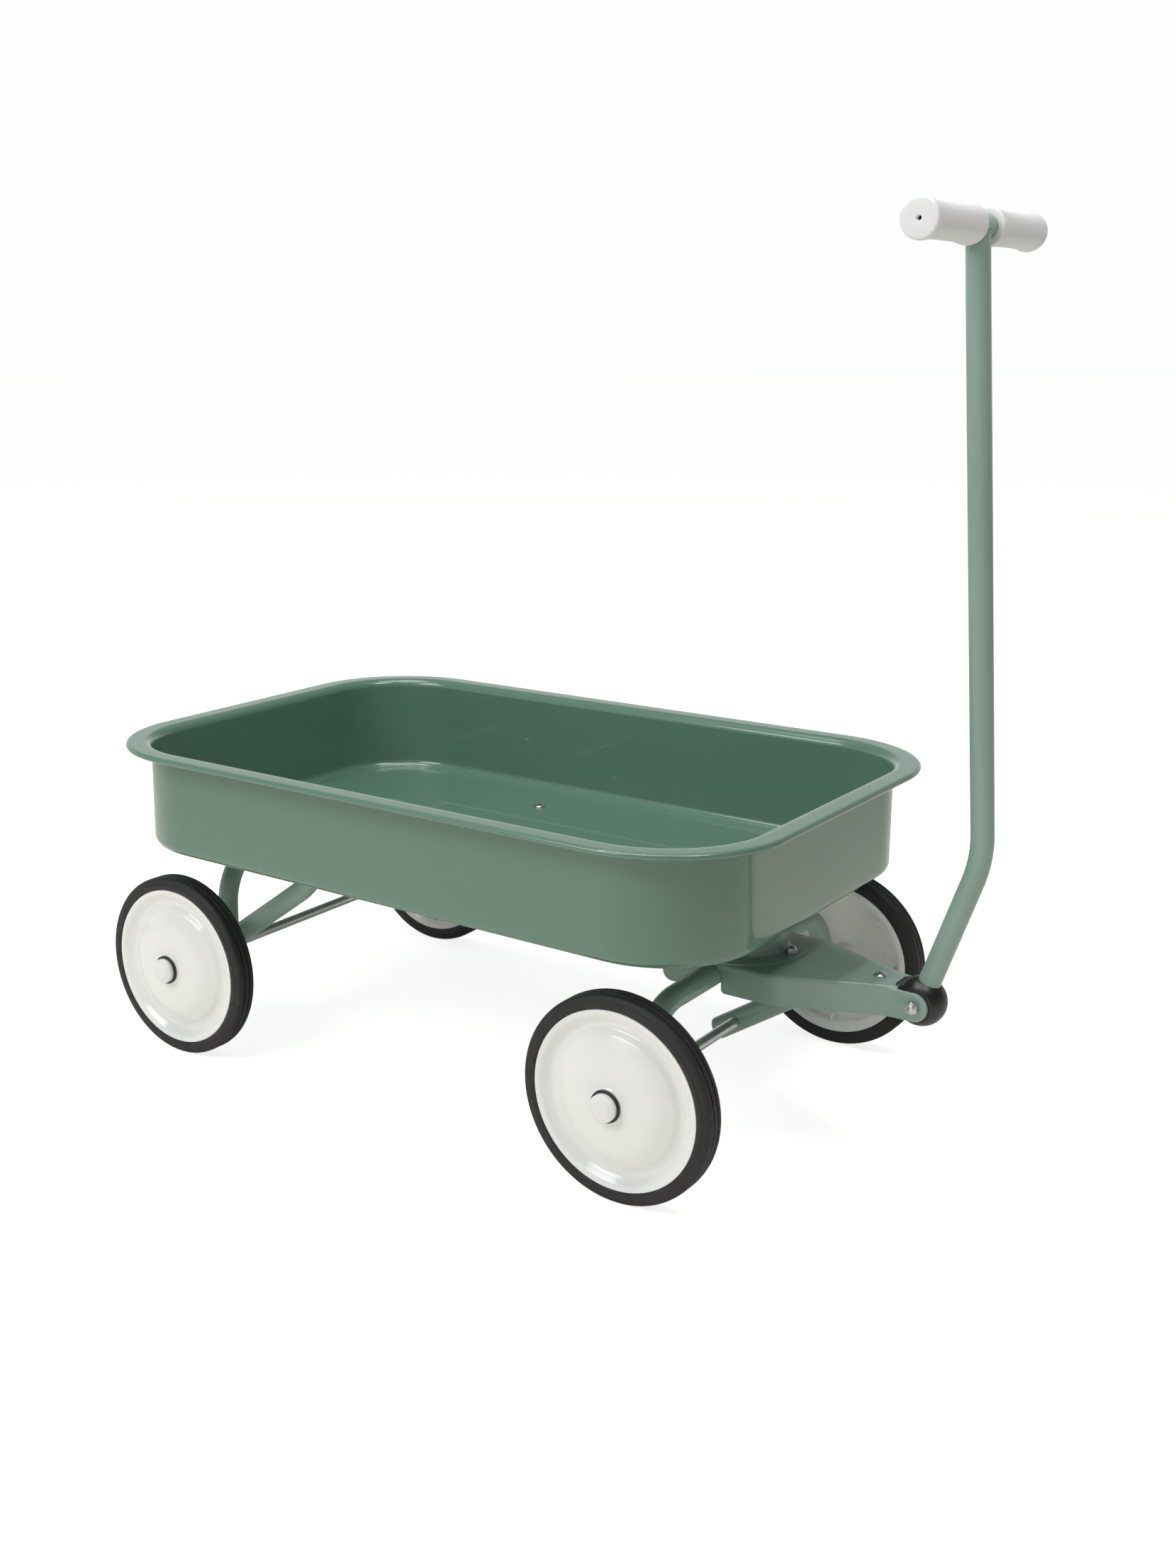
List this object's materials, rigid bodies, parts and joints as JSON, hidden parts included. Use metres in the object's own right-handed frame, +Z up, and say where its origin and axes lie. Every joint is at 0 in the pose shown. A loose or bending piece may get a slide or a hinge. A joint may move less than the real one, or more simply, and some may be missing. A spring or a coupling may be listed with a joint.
{
  "type": "wagon with pull handle",
  "caption": "Child's deep-drawn steel wagon on tube frames with disc wheels, a steering front axle and a hinged T-handle to pull it by.",
  "frame": {"origin": "on the ground under the middle of the overall bounding box", "axes": "+X forward towards the pull handle, +Y to the wagon's left, +Z up"},
  "size_m": [0.8301, 0.472, 0.7868],
  "materials": {
    "green_paint": "smooth satin sage green paint",
    "zinc_steel": "bright zinc plate",
    "white_wheel": "glossy moulded white",
    "black_tyre": "black rubber",
    "white_grip": "matte, finely grained",
    "white_cap": "glossy white",
    "black_ring": "matte black",
    "black_ball": "satin black",
    "white_washer": "matte natural nylon"
  },
  "bodies": {
    "chassis": {"tray": "green_paint", "tray_screws": "zinc_steel", "tray_nuts": "zinc_steel", "rear_frame": "green_paint", "rear_brace_left": "green_paint", "rear_brace_right": "green_paint", "rear_axle": "zinc_steel", "rear_spacers": "zinc_steel", "rear_caps": "white_cap", "rear_rings": "black_ring", "turn_washer": "white_washer", "kingpin": "zinc_steel", "kingpin_nut": "zinc_steel"},
    "front_truck": {"riser": "green_paint", "riser_screws": "zinc_steel", "riser_nuts": "zinc_steel", "bracket": "green_paint", "front_frame": "green_paint", "front_brace": "green_paint", "brace_screw": "zinc_steel", "brace_nut": "zinc_steel", "front_axle": "zinc_steel", "front_spacers": "zinc_steel", "front_caps": "white_cap", "front_rings": "black_ring", "hinge_bolt": "zinc_steel", "hinge_nut": "zinc_steel"},
    "pull_handle": {"handle_ball": "black_ball", "handle_tube": "green_paint", "crossbar": "green_paint", "grip_left": "white_grip", "grip_right": "white_grip"},
    "running_rear_left": {"wheel_rear_left": "white_wheel", "tyre_rear_left": "black_tyre"},
    "running_rear_right": {"wheel_rear_right": "white_wheel", "tyre_rear_right": "black_tyre"},
    "running_front_left": {"wheel_front_left": "white_wheel", "tyre_front_left": "black_tyre"},
    "running_front_right": {"wheel_front_right": "white_wheel", "tyre_front_right": "black_tyre"}
  },
  "joints": [
    {"name": "steering", "type": "hinge", "parent": "chassis", "child": "front_truck", "pos_m": [0.193, 0, 0.2], "axis": [0, 0, 1], "range_deg": [-45, 45]},
    {"name": "handle_hinge", "type": "hinge", "parent": "front_truck", "child": "pull_handle", "pos_m": [0.3624, 0, 0.1473], "axis": [0, 1, 0], "range_deg": [-15, 100]},
    {"name": "rear_left_wheel_spin", "type": "hinge", "parent": "chassis", "child": "running_rear_left", "pos_m": [-0.315, 0.2, 0.0889], "axis": [0, 1, 0], "continuous": true},
    {"name": "rear_right_wheel_spin", "type": "hinge", "parent": "chassis", "child": "running_rear_right", "pos_m": [-0.315, -0.2, 0.0889], "axis": [0, 1, 0], "continuous": true},
    {"name": "front_left_wheel_spin", "type": "hinge", "parent": "front_truck", "child": "running_front_left", "pos_m": [0.193, 0.2, 0.0889], "axis": [0, 1, 0], "continuous": true},
    {"name": "front_right_wheel_spin", "type": "hinge", "parent": "front_truck", "child": "running_front_right", "pos_m": [0.193, -0.2, 0.0889], "axis": [0, 1, 0], "continuous": true}
  ]
}
